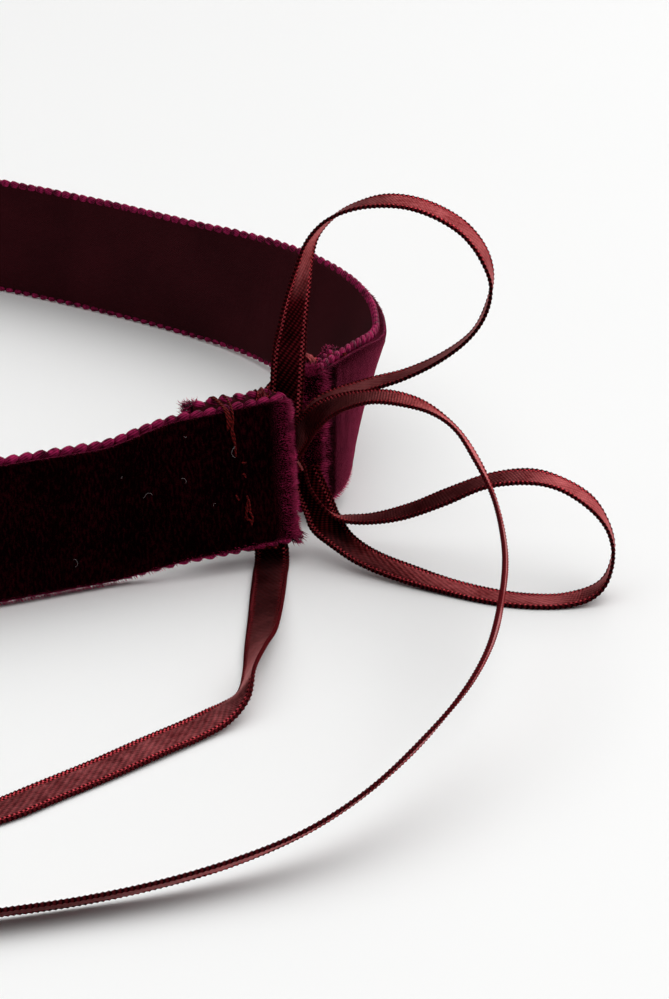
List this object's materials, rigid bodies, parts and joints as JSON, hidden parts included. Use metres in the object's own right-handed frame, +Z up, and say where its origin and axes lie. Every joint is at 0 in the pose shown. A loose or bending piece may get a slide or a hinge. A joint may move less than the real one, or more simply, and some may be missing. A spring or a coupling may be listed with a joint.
{
  "type": "velvet bow-tie neckband",
  "caption": "Velvet ribbon neckband with folded casings at its ends, drawn together by a narrow satin ribbon tied in a loose bow.",
  "frame": {"origin": "middle of the neckband's footprint, on the surface it stands on, measured without the free ribbon", "axes": "+X from the middle of the ring towards the bow side, +Y towards the far side of the ring, +Z up along the band's width"},
  "size_m": [0.1352, 0.1587, 0.0308],
  "materials": {
    "velvet_ground": "smooth woven back",
    "velvet_pile": "dense cut pile",
    "selvedge": "corded weft loops",
    "satin": "satin weave, soft sheen",
    "thread": "spun thread"
  },
  "bodies": {
    "neckband": {"velvet_ground": "velvet_ground", "velvet_pile": "velvet_pile", "upper_selvedge": "selvedge", "lower_selvedge": "selvedge", "near_casing": "velvet_pile", "far_casing": "velvet_pile", "near_stitching": "thread", "far_stitching": "thread", "near_lead": "satin", "far_lead": "satin", "knot_core": "satin", "knot_wrap": "satin"},
    "upper_loop": {"upper_loop": "satin"},
    "lower_loop": {"lower_loop": "satin"},
    "arc_tail": {"arc_tail": "satin"},
    "hanging_tail": {"hanging_tail": "satin"}
  },
  "joints": [
    {"name": "upper_loop_flop", "type": "hinge", "parent": "neckband", "child": "upper_loop", "pos_m": [0.0494, -0.0298, 0.0099], "axis": [1, 0, 0], "range_deg": [-12, 8], "stiffness_Nm_per_rad": 0.0001},
    {"name": "lower_loop_lift", "type": "hinge", "parent": "neckband", "child": "lower_loop", "pos_m": [0.0508, -0.031, 0.0055], "axis": [-0.4108, -0.9117, 0], "range_deg": [0, 12]},
    {"name": "arc_tail_swing", "type": "hinge", "parent": "neckband", "child": "arc_tail", "pos_m": [0.0506, -0.0314, 0.0095], "axis": [0, 0, 1], "range_deg": [-5, 4]},
    {"name": "hanging_tail_swing", "type": "hinge", "parent": "neckband", "child": "hanging_tail", "pos_m": [0.0483, -0.036, 0.0003], "axis": [0, 0, 1], "range_deg": [-10, 2]}
  ]
}
